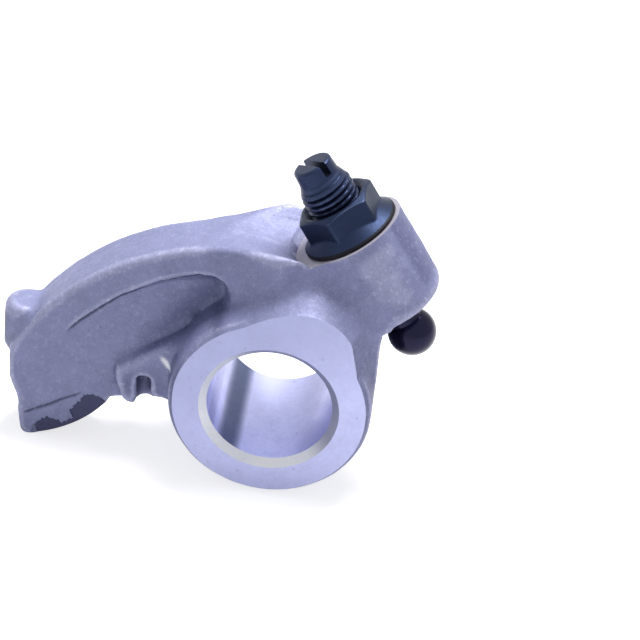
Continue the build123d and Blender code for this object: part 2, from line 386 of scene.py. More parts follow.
def cast_material():
    """Sand-blasted cast aluminium: blotchy satin grey, lighter on outer edges as wear and as painted highlight,
    darker in hollows and creases as painted shade, with small bright specks and dark pits."""
    material, tree, shader, place = new_material("cast_aluminium", 0.5, 0.2)
    skin = use_grit(tree, place, 1.0)
    edge, crease_shade, recess, chip = (attribute(tree, name) for name in ("edge", "crease_shade", "recess", "chip"))
    # outer edges lighter as wear and as painted highlight along the ridges and down the front of the boss; the
    # scuffs follow the same edges
    rub_and_highlight_mask = math(tree, "MULTIPLY", ramp(tree, edge, 0.1, 0.42), ramp(tree, edge, 0.95, 0.6, 0.35, 1.0))
    scuffs = ramp(tree, noise(tree, place, 1.3, 5.0, 0.8), 0.52, 0.64)
    scuff_and_glint_mask = math(tree, "MULTIPLY", scuffs, ramp(tree, edge, 0.05, 0.4, 0.18, 0.7))
    sparks, pits = math(tree, "MULTIPLY", skin["Bright"], 0.6), math(tree, "MULTIPLY", skin["Dark"], 0.4)
    # painted shade: darker in hollows, on faces turned sideways along X, at the lug's foot and on the boss's right
    # side
    colour = mix(tree, ramp(tree, recess, 0.0, 0.75), linear(133, 138, 178), linear(98, 102, 141))
    # painted shade: darker in creases, along the pocket's upper edge, at its deep end, in the crevice over the
    # insert and on the wall of the screw's recess
    colour = mix(tree, ramp(tree, crease_shade, 0.03, 0.75), colour, linear(65, 69, 103))
    colour = mix(tree, rub_and_highlight_mask, colour, linear(160, 163, 199))
    colour = scaled_colour(tree, colour, skin["Tone"])
    colour = mix(tree, scuff_and_glint_mask, colour, linear(196, 199, 230))
    colour = mix(tree, sparks, colour, linear(205, 208, 235))
    colour = mix(tree, pits, colour, linear(62, 62, 92))
    colour = mix(tree, chip, colour, linear(245, 246, 255))
    rough = ramp(tree, skin["Tone"], 0.7, 1.3, 0.62, 0.46)
    finish_material(tree, shader, colour, rough, skin["Height"], 0.45, 0.00012)
    return material


def machined_material(name, colour, dull, metallic, rough_low, rough_high, ring_scale, painted_bands=()):
    """Machined aluminium: fine turning marks about the bore axis, soft clouds and bands of painted shade,
    reflection and highlight. Each band is an angle about the bore from +X to +Z, how far it spreads before it
    fades, where it ends, its strength and its colour; its mask is a smooth step of the cosine of the angle from
    its middle."""
    material, tree, shader, place = new_material(name, rough_low, metallic)
    x, y, z = add(tree, "SeparateXYZ", {0: place}).outputs
    squares = [math(tree, "MULTIPLY", part, part) for part in (x, z)]
    across = math(tree, "SQRT", math(tree, "ADD", *squares))
    marks_place = add(tree, "CombineXYZ", {0: across, 1: y, 2: 0.0}).outputs[0]
    marks = noise(tree, marks_place, ring_scale, 4.0, 0.7)
    skin = use_grit(tree, place, 2.2)
    tone = math(tree, "SUBTRACT", scaled(tree, marks, 0.16, skin["Tone"]), 0.08)
    shade = scaled_colour(tree, linear(*colour), scaled(tree, tone, 0.5, 0.5))
    shade = mix(tree, math(tree, "MULTIPLY", skin["Dark"], 0.35), shade, linear(*dull))
    for angle, spread, end, strength, band_colour in painted_bands:
        part_x, part_z = cos(radians(angle)), sin(radians(angle))
        toward = math(tree, "ADD", math(tree, "MULTIPLY", x, part_x), math(tree, "MULTIPLY", z, part_z))
        cosine = math(tree, "DIVIDE", toward, across)
        mask = ramp(tree, cosine, cos(radians(end)), cos(radians(spread)), 0.0, strength)
        shade = mix(tree, mask, shade, linear(*band_colour))
    rough = ramp(tree, tone, 0.75, 1.25, rough_high, rough_low)
    finish_material(tree, shader, shade, rough, marks, 0.25, 0.00003)
    return material


def steel_material(name, colour, wear_and_highlight, roughness, metallic, size):
    """Blackened steel: blotchy dark film, lighter along the edge mask, which holds wear and, on the nut, painted
    highlight.
    """
    material, tree, shader, place = new_material(name, roughness, metallic)
    skin = use_grit(tree, place, size)
    patches = ramp(tree, skin["Tone"], 0.85, 1.1, 0.35, 1.0)
    rub_and_highlight_mask = math(tree, "MULTIPLY", ramp(tree, attribute(tree, "edge"), 0.15, 1.0), patches)
    shade = scaled_colour(tree, linear(*colour), skin["Tone"])
    shade = mix(tree, rub_and_highlight_mask, shade, linear(*wear_and_highlight))
    shade = mix(tree, math(tree, "MULTIPLY", skin["Bright"], 0.35), shade, linear(*wear_and_highlight))
    rough = ramp(tree, skin["Tone"], 0.75, 1.25, roughness + 0.12, roughness - 0.06)
    finish_material(tree, shader, shade, rough, skin["Height"], 0.3, 0.00005)
    return material


cast = cast_material()
# the face is painted darker towards its top left, as shade
machined = machined_material("machined_face", (202, 207, 250), (150, 150, 190), 0.35, 0.4, 0.52, 3.0,
                             [(125, 20, 120, 0.6, (160, 166, 208))])
# the bore carries two narrow painted reflections low on its left and painted shade on its right
bored = machined_material("machined_bore", (196, 200, 240), (120, 112, 136), 0.85, 0.32, 0.5, 2.0,
                          [(-128, 3, 16, 0.9, (62, 76, 112)), (-156, 3, 9, 0.35, (120, 118, 160)),
                           (-20, 10, 55, 0.45, (140, 140, 175))])
# the chamfer's near-white base is a painted highlight, with painted shade on its upper right and a painted
# highlight at its bottom
chamfered = machined_material("machined_chamfer", (246, 249, 255), (170, 170, 200), 0.3, 0.35, 0.5, 3.0,
                              [(40, 60, 95, 0.8, (110, 114, 150)), (-86, 3, 16, 0.9, (252, 253, 255))])
spot_faced = machined_material("machined_seat", (176, 173, 188), (140, 134, 150), 0.3, 0.42, 0.55, 2.0)
pad_metal = steel_material("pad_metal", (54, 56, 88), (112, 114, 150), 0.42, 0.5, 1.0)
black_steel = steel_material("black_steel", (38, 49, 78), (72, 82, 114), 0.36, 0.8, 0.7)
nut_steel = steel_material("nut_steel", (31, 43, 70), (88, 102, 134), 0.4, 0.8, 0.7)
# the flange's rim is painted near black as the shadow under the flange
rim_shadow_steel = steel_material("flange_rim_shadow", (12, 13, 24), (30, 30, 44), 0.5, 0.7, 0.7)
ball_steel = steel_material("ball_steel", (30, 30, 54), (80, 70, 84), 0.2, 0.85, 1.4)


# ---------------------------------------------------------------- casting
VOXEL = 0.32
FACE_STOCK = 0.7
# heights of the skin's relief, in mm, and the depths of the crevice and of the pocket's wall below its roof
FINE_RELIEF, COARSE_RELIEF, FLAKY_RELIEF, PARTING_STEP = 0.012, 0.02, 0.05, 0.05
CREVICE_DEPTH, ROOF_SINK = 0.22, 0.28
# places on the front of the casting, as x, z in mm
# LUG_FOOT is the middle of the painted shade at the lug's foot
LUG_NOTCH, LUG_FOOT, CHIP = (-19.5, -3.5), (-20.5, -2.5), (-16.4, 2.5)
# POCKET_SHADE is the middle of the painted shade at the pocket's deep end
POCKET_END, POCKET_SHADE = (-8.6, 12.6), (-9.2, 12.7)
# the crevice between the plate and the skin over the insert, as x, z in mm
HEEL_CREVICE = np.array([(-38.5, -11.5), (-36.2, -10.4), (-33.9, -9.1), (-31.6, -7.8), (-29.3, -6.3)])
# the top of the rail and the upper edge of the pocket, as x, z in mm
RAIL_LINE = np.array([(-23.6, 0.7), (-8.4, 10.4)])
ROOF_LINE = np.array([(-32.5, 4.2), (-29.9, 7.1), (-27.0, 9.7), (-24.1, 12.2), (-21.2, 13.9), (-18.3, 15.7),
                      (-15.4, 16.9), (-12.5, 17.8), (-10.2, 17.65), (-8.2, 16.4)])


def copy_in_mm(node):
    """A merged copy of a CAD node's mesh, in mm."""
    points = read_points(node.data)
    corners = np.empty(len(node.data.loops), int)
    node.data.loops.foreach_get("vertex_index", corners)
    unique, where = np.unique(np.round(points, 4), axis=0, return_inverse=True)
    faces = where.reshape(-1)[corners].reshape(-1, 3)
    keep = (faces[:, 0] != faces[:, 1]) & (faces[:, 1] != faces[:, 2]) & (faces[:, 2] != faces[:, 0])
    return unique, faces[keep]


def face_stock(points, faces, side):
    """The stock that is faced off one end of the ring: a prism over the flat face of the CAD casting."""
    flat = faces[(np.abs(points[faces][:, :, 1] - side * FACE_Y) < 0.001).all(1)]
    pairs = np.vstack([flat[:, [0, 1]], flat[:, [1, 2]], flat[:, [2, 0]]])
    keys = pairs[:, 0] * len(points) + pairs[:, 1]
    rims = pairs[~np.isin(keys, pairs[:, 1] * len(points) + pairs[:, 0])]
    count = len(points)
    shift = np.array([0, side * FACE_STOCK, 0])
    low, high = points - shift, points + shift
    walls = np.stack([rims[:, 0], rims[:, 1], rims[:, 1] + count, rims[:, 0] + count], -1)
    made = flat[:, ::-1].tolist() + (flat + count).tolist() + walls.tolist()
    return np.vstack([low, high]), made


def casting_blank():
    """The casting before machining, voxel remeshed from the CAD solid with its bore, screw hole and pad seat
    filled and with stock on the ring's faces. The mesh is kept in mm until it is remeshed."""
    points, faces = copy_in_mm(frame["nodes"]["arm_body"])
    blank = mesh_piece("arm_body_casting", points / MM, faces)
    fillers = [
        turned("bore_filler", np.zeros(3), BORE_AXIS, BORE_ACROSS, BORE_SIDE,
               [-FACE_Y - FACE_STOCK, FACE_Y + FACE_STOCK], [BORE_RADIUS + 2.0] * 2),
        turned("hole_filler", SEAT, AXIS, ACROSS, SIDE, [-BOSS_HEIGHT, 0.6], [HOLE_RADIUS + 0.5] * 2),
        turned("boss_stock", SEAT, AXIS, ACROSS, SIDE, [-2.0, FACE_STOCK], [BOSS_RADIUS] * 2),
        mesh_piece("pad_filler", *copy_in_mm(frame["nodes"]["cam_pad"])),
    ]
    fillers += [mesh_piece("face_stock", *face_stock(points, faces, side)) for side in (-1, 1)]
    for filler in fillers:
        filler.data.transform(Matrix.Scale(1 / MM, 4))
    with bpy.context.temp_override(active_object=blank, selected_editable_objects=[blank] + fillers,
                                   selected_objects=[blank] + fillers, object=blank):
        bpy.ops.object.join()
    remesh = blank.modifiers.new("remesh", "REMESH")
    remesh.mode, remesh.voxel_size, remesh.use_smooth_shade = "VOXEL", VOXEL, True
    apply_modifiers(blank)
    blank.data.transform(Matrix.Scale(MM, 4))
    return blank


def neighbour_mean(values, edges):
    """The mean of each point's neighbours, for one or more numbers per point."""
    count = len(values)
    start, end = edges[:, 0], edges[:, 1]
    degree = np.maximum(np.bincount(edges.ravel(), minlength=count), 1)
    columns = values.reshape(count, -1).T
    sums = [np.bincount(start, c[end], count) + np.bincount(end, c[start], count) for c in columns]
    return (np.array(sums) / degree).T.reshape(values.shape)


def quad_normals(points, quads):
    """Unit point normals from the diagonals of quads."""
    corner = points[quads]
    normals = np.cross(corner[:, 2] - corner[:, 0], corner[:, 3] - corner[:, 1])
    sums = [np.bincount(quads.ravel(), np.repeat(part, 4), len(points)) for part in normals.T]
    sums = np.array(sums).T
    return sums / np.maximum(np.linalg.norm(sums, axis=1, keepdims=True), 1e-9)


def relax(points, edges, weight, steps):
    """Moves every point half way to the mean of its neighbours, times its weight, again and again."""
    for _ in range(steps):
        points = points + 0.5 * weight[:, None] * (neighbour_mean(points, edges) - points)
    return points


def fill_hollows(points, edges, quads, weight, steps):
    """As relax, but a point only ever moves outwards along its normal, so inner corners fill with round
    blends while outer corners stay."""
    for _ in range(steps):
        normals = quad_normals(points, quads)
        out = ((neighbour_mean(points, edges) - points) * normals).sum(1)
        points = points + (0.6 * weight * np.maximum(out, 0))[:, None] * normals
    return points


def solid_share(points, normals, areas, blurs):
    """How much solid lies just outside each point: the solid's indicator is rebuilt on a grid from its
    surface normals by Fourier division, blurred by a Gaussian, and read at the point moved out by 1.5 blurs.
    A flat wall gives 0 and a deep hollow near 1."""
    cell, margin = 0.5, 12.0
    flat_share, hollow_range = 0.07, 0.5
    low = points.min(0) - margin
    size = np.ceil((points.max(0) + margin - low) / cell).astype(int)
    index = np.round((points - low) / cell).astype(int)
    flat = np.ravel_multi_index(index.T, size)
    waves = np.meshgrid(*[2 * pi * np.fft.fftfreq(n, cell) for n in size], indexing="ij")
    square = sum(wave**2 for wave in waves)
    square[0, 0, 0] = 1.0
    total = 0
    for axis in range(3):
        field = np.bincount(flat, normals[:, axis] * areas, size.prod()).reshape(size) / cell**3
        total = total + 1j * waves[axis] * np.fft.fftn(field) / square
    shares = []
    for blur in blurs:
        solid = np.fft.ifftn(total * np.exp(-square * blur**2 / 2)).real
        solid -= solid[0, 0, 0]
        there = np.round((points + 1.5 * blur * normals - low) / cell).astype(int)
        share = solid[tuple(np.clip(there, 0, size - 1).T)]
        shares.append(np.clip((share - flat_share) / hollow_range, 0, 1))
    return shares


def read_quads(mesh):
    """The edges and the four-sided faces of a mesh, as point numbers."""
    edges = np.empty(len(mesh.edges) * 2, int)
    mesh.edges.foreach_get("vertices", edges)
    corners = np.empty(len(mesh.loops), int)
    mesh.loops.foreach_get("vertex_index", corners)
    return edges.reshape(-1, 2), corners.reshape(-1, 4)


def point_areas(points, quads):
    """A quarter of the area of each quad round a point, summed."""
    corner = points[quads]
    area = np.linalg.norm(np.cross(corner[:, 2] - corner[:, 0], corner[:, 3] - corner[:, 1]), axis=1) / 2
    return np.bincount(quads.ravel(), np.repeat(area / 4, 4), len(points))


def hollow_weight(points, inside):
    """How readily hollows fill: fully round the ring, less along the arm, little in the pocket's upper part
    and not at all in the lug's notch."""
    x, y, z = points.T
    near_ring = smooth_step(x, -18.0, -12.0)
    pocket_top = smooth_step(z, 8.0, 11.0) * (1 - near_ring)
    off_notch = np.hypot(x - LUG_NOTCH[0], z - LUG_NOTCH[1])
    notch = (1 - smooth_step(off_notch, 3.2, 4.6)) * smooth_step(-y, 4.6, 5.4)
    return inside * (0.22 + 0.78 * near_ring) * (1 - 0.8 * pocket_top) * (1 - notch)


def fold_weight(points, inside):
    """Where the shape is soft: along the top of the rail and at the deep end of the pocket."""
    x, y, z = points.T
    rail_way = (RAIL_LINE[1] - RAIL_LINE[0]) / np.hypot(*(RAIL_LINE[1] - RAIL_LINE[0]))
    off_rail = (x - RAIL_LINE[0, 0]) * rail_way[1] - (z - RAIL_LINE[0, 1]) * rail_way[0]
    fold = bell(off_rail, 2.2) * smooth_step(np.abs(y), 3.8, 4.8) * smooth_step(-x, 6.0, 9.0)
    deep_end = bell(np.hypot(x - POCKET_END[0], z - POCKET_END[1]), 3.4) * inside
    return np.maximum(fold, deep_end)


def sink_roof(points):
    """Sinks the pocket's wall just below its upper edge, in place, and gives the mask of a painted shadow line
    there.
    """
    x, y, z = points.T
    first, last = ROOF_LINE[0, 0], ROOF_LINE[-1, 0]
    slope = np.interp(x, ROOF_LINE[:, 0], np.gradient(ROOF_LINE[:, 1], ROOF_LINE[:, 0]))
    below = (np.interp(x, *ROOF_LINE.T) - z) * np.cos(np.arctan(slope))
    along = smooth_step(x, first, first + 2) * (1 - smooth_step(x, last - 1, last))
    along = along * smooth_step(np.abs(y), 2.0, 2.8)
    sunk = smooth_step(below, -0.1, 0.35) * (1 - smooth_step(below, 1.0, 3.0)) * along
    points[:, 1] -= ROOF_SINK * sunk * np.sign(y)
    return bell(below - 0.25, 0.32) * along


def smooth_noise(count, edges, steps):
    """Seeded noise, one number per point; each step spreads it further over the neighbours."""
    values = chance.normal(size=count)
    for _ in range(steps):
        values = 0.5 * values + 0.5 * neighbour_mean(values, edges)
    return values / values.std()


def skin_relief(points, normals, fine, coarse):
    """How far the skin stands out at each point, and the mask of the crevice over the insert."""
    x, y, z = points.T
    relief = FINE_RELIEF * fine + COARSE_RELIEF * coarse
    heel_z = np.interp(x, *HEEL_CREVICE.T)
    near_heel = smooth_step(-y, 4.5, 4.8) * smooth_step(x, -38.8, -38.0) * (1 - smooth_step(x, -30.0, -28.8))
    crevice = bell(z - heel_z + 0.1 * coarse, 0.28) * near_heel
    flaky = smooth_step(heel_z - z, 0.2, 0.8) * near_heel
    relief += FLAKY_RELIEF * flaky * relief / relief.std() - CREVICE_DEPTH * crevice
    on_top = smooth_step(x, -16, -8) * smooth_step(normals[:, 2], 0.5, 0.8) * smooth_step(z, 17, 19)
    relief += PARTING_STEP * np.tanh(y / 0.2) * on_top
    return relief, crevice


def boss_highlight_and_shade(points, coarse):
    """Masks of a painted highlight down the front of the boss and of painted shade on its right side."""
    from_boss = points - SEAT
    facing = np.degrees(np.arctan2(from_boss @ SIDE, from_boss @ ACROSS))
    height = from_boss @ AXIS
    within = np.hypot(from_boss @ SIDE, from_boss @ ACROSS) < BOSS_RADIUS + 0.5
    on_boss = smooth_step(height, -13, -10) * within
    boss_highlight = bell(facing - 64 + coarse * 4, 22) * smooth_step(-height, 0.3, 2.5) * on_boss
    return boss_highlight, (1 - smooth_step(np.abs(facing), 26, 42)) * on_boss


def shape_casting(mesh):
    """Turns the stepped remesh into a casting: first its steps are relaxed, then the inner corners are filled
    and the folds softened, then the skin gets its uneven relief. Masks of its wear, of painted highlights and
    of painted shade go into the mesh for the material to read."""
    points = read_points(mesh)
    edges, quads = read_quads(mesh)
    every = np.ones(len(points))
    points = relax(points, edges, every, 5)
    inside = 1 - smooth_step(np.abs(points[:, 1]), FACE_Y - 1.3, FACE_Y - 0.5)
    points = fill_hollows(points, edges, quads, hollow_weight(points, inside), 90)
    points = relax(points, edges, 0.6 * inside, 2)
    points = relax(points, edges, fold_weight(points, inside), 38)
    roof_shadow = sink_roof(points)
    normals = quad_normals(points, quads)
    bulge = ((points - relax(points, edges, every, 14)) * normals).sum(1)
    crease_shade, recess = solid_share(points, normals, point_areas(points, quads), (0.9, 3.0))
    for _ in range(3):
        crease_shade, recess = neighbour_mean(crease_shade, edges), neighbour_mean(recess, edges)
    fine = smooth_noise(len(points), edges, 6)
    coarse = smooth_noise(len(points), edges, 40)
    relief, crevice = skin_relief(points, normals, fine, coarse)
    skin = points + (relief * inside)[:, None] * normals
    skin[:, [0, 2]] = np.clip(skin[:, [0, 2]], CAD_LOW, CAD_HIGH)
    write_points(mesh, skin)

    x, y, z = points.T
    dish = smooth_step(z, 20, 22) * smooth_step(x, -14, -9) * (1 - smooth_step(np.abs(y), 5.5, 7.5))
    # outer edges are lighter as wear and as painted highlight along the ridges, less in the dish beside the nut
    edge = np.clip(bulge / 0.22, 0, 1) * (1 - 0.8 * dish)
    # a painted highlight down the front of the boss, and painted shade on its right side
    boss_highlight, shaded = boss_highlight_and_shade(skin, coarse)
    write_value(mesh, "edge", np.maximum(edge, 0.42 * boss_highlight))
    # painted shade, written into the crease mask: along the pocket's upper edge, at its deep end, in the crevice
    # over the insert and in creases
    off_pocket_shade = np.hypot(x - POCKET_SHADE[0], z - POCKET_SHADE[1])
    pocket_shade = bell(off_pocket_shade, 1.9) * smooth_step(np.abs(y), 2.0, 3.0)
    painted_shades = [crease_shade, 0.85 * roof_shadow, 0.45 * pocket_shade, 0.8 * crevice]
    write_value(mesh, "crease_shade", np.maximum.reduce(painted_shades))
    # painted shade, written into the recess mask: on faces turned sideways along X, at the lug's foot, on the
    # boss's right side and in hollows
    sideways_shade = smooth_step(np.abs(normals[:, 0]), 0.5, 0.9) * (1 - smooth_step(normals[:, 2], 0.2, 0.6))
    lug_shade = bell(x - LUG_FOOT[0], 4.5) * bell(z - LUG_FOOT[1], 3.2) * smooth_step(-y, 4.0, 4.8)
    write_value(mesh, "recess", np.maximum.reduce([recess, 0.6 * sideways_shade, 0.6 * lug_shade, 0.6 * shaded]))
    chip_x, chip_z = x - CHIP[0], z - CHIP[1]
    chip = bell(chip_x + 0.9 * chip_z, 0.62) * bell(chip_z, 0.95) * smooth_step(-y, 3.0, 4.0)
    write_value(mesh, "chip", np.clip(1.8 * chip + 0.9 * relief / relief.std() * chip - 0.45, 0, 1))


def machining_cutters():
    """Cutters for the two ring faces, the chamfered bore, the flared recess and the screw hole. The hole's
    points are turned a little, so that none lines up with the recess's."""
    reach, past, hole_turn, recess_wall_shade = 40.0, 2.0, 0.02, 0.45
    square = np.array([(-reach, -reach), (reach, -reach), (reach, reach), (-reach, reach)])
    front_face = prism("front_face_cutter", square, -FACE_Y - 3.0, -FACE_Y)
    back_face = prism("back_face_cutter", square, FACE_Y, FACE_Y + 3.0)
    heights = [-FACE_Y - past, -FACE_Y + BORE_CHAMFER, FACE_Y - BORE_CHAMFER, FACE_Y + past]
    mouth = BORE_RADIUS + BORE_CHAMFER + past
    radii = [mouth, BORE_RADIUS, BORE_RADIUS, mouth]
    bore = turned("bore_cutter", np.zeros(3), BORE_AXIS, BORE_ACROSS, BORE_SIDE, heights, radii, 256)
    straight = faces_within(bore.data, np.abs(read_points(bore.data)[:, 1]) < FACE_Y)
    two_materials(bore, bored, chamfered, ~straight)
    wide = RECESS_RADIUS + BOSS_HEIGHT * tan(radians(RECESS_TAPER))
    recess = turned("recess_cutter", SEAT, AXIS, ACROSS, SIDE, [0.0, BOSS_HEIGHT], [RECESS_RADIUS, wide], 160)
    # the recess's wall gets a fixed painted shade through the crease mask
    write_value(recess.data, "crease_shade", np.full(len(recess.data.vertices), recess_wall_shade))
    two_materials(recess, cast, spot_faced, faces_within(recess.data, screw_heights(recess.data) < 0.1))
    across = ACROSS * cos(hole_turn) + SIDE * sin(hole_turn)
    side = SIDE * cos(hole_turn) - ACROSS * sin(hole_turn)
    hole = turned("hole_cutter", SEAT, AXIS, across, side, [-reach / 2, 5.0], [HOLE_RADIUS] * 2)
    for cutter in (front_face, back_face, hole):
        cutter.data.materials.append(machined)
    return [front_face, back_face, bore, recess, hole]


casting = casting_blank()
shape_casting(casting.data)
casting.data.materials.clear()
casting.data.materials.append(cast)
cut(casting, machining_cutters())
casting.data.set_sharp_from_angle(angle=radians(32))
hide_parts("arm_body")
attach(casting, "arm")


# ---------------------------------------------------------------- cam pad under its ragged casting skin
SKIN = 0.3
SKIN_OVERLAP = 0.05
PAD_OVERLAP = 0.02
UNDER_PAD = PAD_RADIUS + 1.5
# the edge of the casting skin over the insert, from the heel to the toe, as x, z in mm
SKIN_EDGE = [(-36.6, -13.3), (-35.6, -12.4), (-34.6, -11.7), (-33.4, -11.6), (-32.3, -12.0), (-31.2, -11.6),
             (-30.4, -11.0), (-30.8, -9.6), (-30.2, -8.7), (-29.5, -8.0), (-28.9, -6.9), (-28.0, -6.4),
             (-26.9, -6.3), (-26.2, -6.6)]


def pad_point(radius, angle):
    """A point at a radius and an angle in degrees, from straight down, about the pad's centre."""
    turn = np.radians(angle)
    return np.stack([PAD_CENTRE[0] + radius * np.sin(turn), PAD_CENTRE[1] - radius * np.cos(turn)], -1)


def ragged(outline, steps, reach):
    """An open outline with its runs divided and each point but the ends shifted square to the line by smooth
    seeded noise."""
    outline = np.asarray(outline, float)
    place = np.linspace(0, len(outline) - 1, steps)
    line = np.stack([np.interp(place, np.arange(len(outline)), outline[:, k]) for k in (0, 1)], -1)
    way = np.gradient(line, axis=0)
    square = np.stack([-way[:, 1], way[:, 0]], -1) / np.linalg.norm(way, axis=1, keepdims=True)
    shift = chance.normal(size=steps)
    shift = (shift + np.roll(shift, 1) + np.roll(shift, -1)) / 3
    shift[[0, -1]] = 0
    return line + reach * shift[:, None] * square


def pad_profile(inner, outer, start, end, steps=48):
    """The outline of an arc between two radii and two angles about the pad's centre."""
    angles = np.linspace(start, end, steps)
    return np.vstack([pad_point(outer, angles), pad_point(inner, angles[::-1])])


def pad_cutters():
    """The insert's seat below the casting skin, and the ragged openings in the skin on both sides."""
    inner, (heel, toe) = PAD_RADIUS - PAD_THICKNESS, PAD_ANGLES
    skin_y = ARM_HALF_WIDTH - SKIN
    cutters = [prism("seat_cutter", pad_profile(inner, UNDER_PAD, heel, toe), -skin_y, skin_y)]
    under = pad_point(UNDER_PAD, np.linspace(toe + 1.0, heel - 4.0, 40))
    front = np.vstack([ragged(SKIN_EDGE, 110, 0.26), under])
    cutters.append(prism("front_skin_cutter", front, -ARM_HALF_WIDTH - 1.0, -skin_y + SKIN_OVERLAP))
    edge = pad_point(inner + 0.5, np.linspace(heel + 1.0, toe - 1.5, 12))
    back = np.vstack([ragged(edge, 70, 0.2), under])
    cutters.append(prism("back_skin_cutter", back, skin_y - SKIN_OVERLAP, ARM_HALF_WIDTH + 1.0))
    for cutter in cutters:
        cutter.data.materials.append(cast)
    return cutters


def make_cam_pad():
    """The insert: an arc of its own thickness, with rounded long edges on its contact face. Rows go round
    the cross section and columns along the arc."""
    along = np.linspace(PAD_ANGLES[0], PAD_ANGLES[1], 120)
    half, round_edge = ARM_HALF_WIDTH - SKIN + PAD_OVERLAP, 0.35
    corner = np.linspace(0, pi / 2, 5)
    flank = np.linspace(PAD_THICKNESS, round_edge + 0.2, 6)
    front_side = np.concatenate([[-half] * 6, -half + round_edge * (1 - np.cos(corner))])
    front_depth = np.concatenate([flank, round_edge * (1 - np.sin(corner))])
    side = np.concatenate([front_side, np.linspace(-half + 1, half - 1, 9), -front_side[::-1]])
    depth = np.concatenate([front_depth, np.zeros(9), front_depth[::-1]])
    place = pad_point((PAD_RADIUS - depth)[:, None], along[None, :])
    points = np.stack([place[..., 0], np.repeat(side[:, None], len(along), 1), place[..., 1]], -1)
    rows, columns = points.shape[:2]
    row, column = np.meshgrid(np.arange(rows), np.arange(columns - 1), indexing="ij")
    here, after = row * columns + column, (row + 1) % rows * columns + column
    quads = np.stack([here, here + 1, after + 1, after], -1)
    ends = [(np.arange(rows) * columns).tolist(), (np.arange(rows)[::-1] * columns + columns - 1).tolist()]
    faces = [face[::-1] for face in quads.reshape(-1, 4).tolist() + ends]
    return mesh_piece("cam_pad_insert", points.reshape(-1, 3), faces, 35)


cut(casting, pad_cutters())
cam_pad = make_cam_pad()
write_value(cam_pad.data, "edge", np.zeros(len(cam_pad.data.vertices)))
cam_pad.data.materials.append(pad_metal)
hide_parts("cam_pad")
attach(cam_pad, "arm")


# ---------------------------------------------------------------- adjusting screw
# the thread's wave: where in its pitch it starts, how steep its flanks are and how much of it is crest
THREAD_PHASE, FLANK_SLOPE, CREST_SHARE = 0.75, 1.7, 0.62
# the chamfer at the thread's lower end, and the height and the inset of the rounding at the tip
END_CHAMFER = 0.8
ROUND_HEIGHT, ROUND_INSET = 0.45, 0.6


def thread_groove(heights, turn):
    """0 on a crest and 1 at the root of a right-hand thread: a triangle wave of height over pitch plus turn,
    with broad flat crests and narrow grooves."""
    phase = np.mod(heights / THREAD_PITCH + turn / (2 * pi) + THREAD_PHASE, 1.0)
    return np.clip(FLANK_SLOPE * (1 - np.abs(2 * phase - 1)) - CREST_SHARE, 0, 1)


def make_screw():
    """A turned solid: tip, cone, shank, neck and ball as one profile, with the helical groove taken out of
    the shank and the cone."""
    columns, round_rows, end_radii = 144, 6, [TIP_RADIUS - 0.8, 1.6, 0.6]
    turn = np.linspace(0, 2 * pi, columns, endpoint=False)
    tip_foot = TIP_HEIGHT - TIP_LENGTH
    ball_top = BALL_HEIGHT + np.sqrt(BALL_RADIUS**2 - NECK_RADIUS**2)
    dip = np.linspace(-pi / 2, np.arcsin((ball_top - BALL_HEIGHT) / BALL_RADIUS), 44)[1:]
    rise = np.linspace(0, pi / 2, round_rows)
    heights = np.concatenate([
        BALL_HEIGHT + BALL_RADIUS * np.sin(dip),
        np.linspace(ball_top + 0.1, THREAD_END - 0.05, 6),
        np.arange(THREAD_END, tip_foot, THREAD_PITCH / 16),
        np.linspace(tip_foot, TIP_HEIGHT - ROUND_HEIGHT - 0.1, 8),
        TIP_HEIGHT - ROUND_HEIGHT + ROUND_HEIGHT * np.sin(rise),
        np.full(len(end_radii), TIP_HEIGHT),
    ])
    knots = [
        (THREAD_END - 0.05, NECK_RADIUS), (THREAD_END, THREAD_RADIUS - END_CHAMFER),
        (THREAD_END + END_CHAMFER, THREAD_RADIUS), (TIP_HEIGHT - CONE_LENGTH, THREAD_RADIUS),
        (tip_foot, TIP_RADIUS + 0.12), (TIP_HEIGHT - 0.6, TIP_RADIUS),
    ]
    radii = np.interp(heights, *zip(*knots))
    ball = heights <= ball_top + 1e-6
    radii[ball] = np.sqrt(np.maximum(BALL_RADIUS**2 - (heights[ball] - BALL_HEIGHT) ** 2, 0))
    round_start = len(heights) - round_rows - len(end_radii)
    radii[round_start:] = [*(TIP_RADIUS - ROUND_INSET * (1 - np.cos(rise))), *end_radii]
    heights = np.repeat(heights[:, None], columns, 1)
    radii = np.repeat(radii[:, None], columns, 1)
    threaded = (heights > THREAD_END) & (heights < tip_foot)
    groove = thread_groove(heights, turn)
    radii = np.where(threaded, np.minimum(radii, THREAD_RADIUS - THREAD_DEPTH * groove), radii)
    screw = turned("adjusting_screw_threaded", SEAT, AXIS, ACROSS, SIDE, heights, radii, columns, 40)
    hidden = np.where(threaded, groove, 0.35)
    hidden[-len(end_radii):] = 1.0
    write_value(screw.data, "edge", np.append(0.45 * np.clip(1 - 2.2 * hidden, 0, 1).ravel(), [0, 0]))
    below_thread = faces_within(screw.data, screw_heights(screw.data) < THREAD_END)
    two_materials(screw, black_steel, ball_steel, below_thread)
    return screw


def slot_cutter():
    """A bar across the tip, turned half way between the two axes of the section."""
    way = (ACROSS + SIDE) / np.sqrt(2)
    flank = np.cross(AXIS, way)
    reach, past = 5, 2
    corners = [SEAT + way * u * reach + flank * v * SLOT_WIDTH / 2 + AXIS * h
               for u in (-1, 1) for v in (-1, 1) for h in (TIP_HEIGHT - SLOT_DEPTH, TIP_HEIGHT + past)]
    faces = [(0, 1, 3, 2), (4, 6, 7, 5), (0, 4, 5, 1), (2, 3, 7, 6), (0, 2, 6, 4), (1, 5, 7, 3)]
    cutter = mesh_piece("slot_cutter", corners, faces)
    cutter.data.materials.append(black_steel)
    return cutter


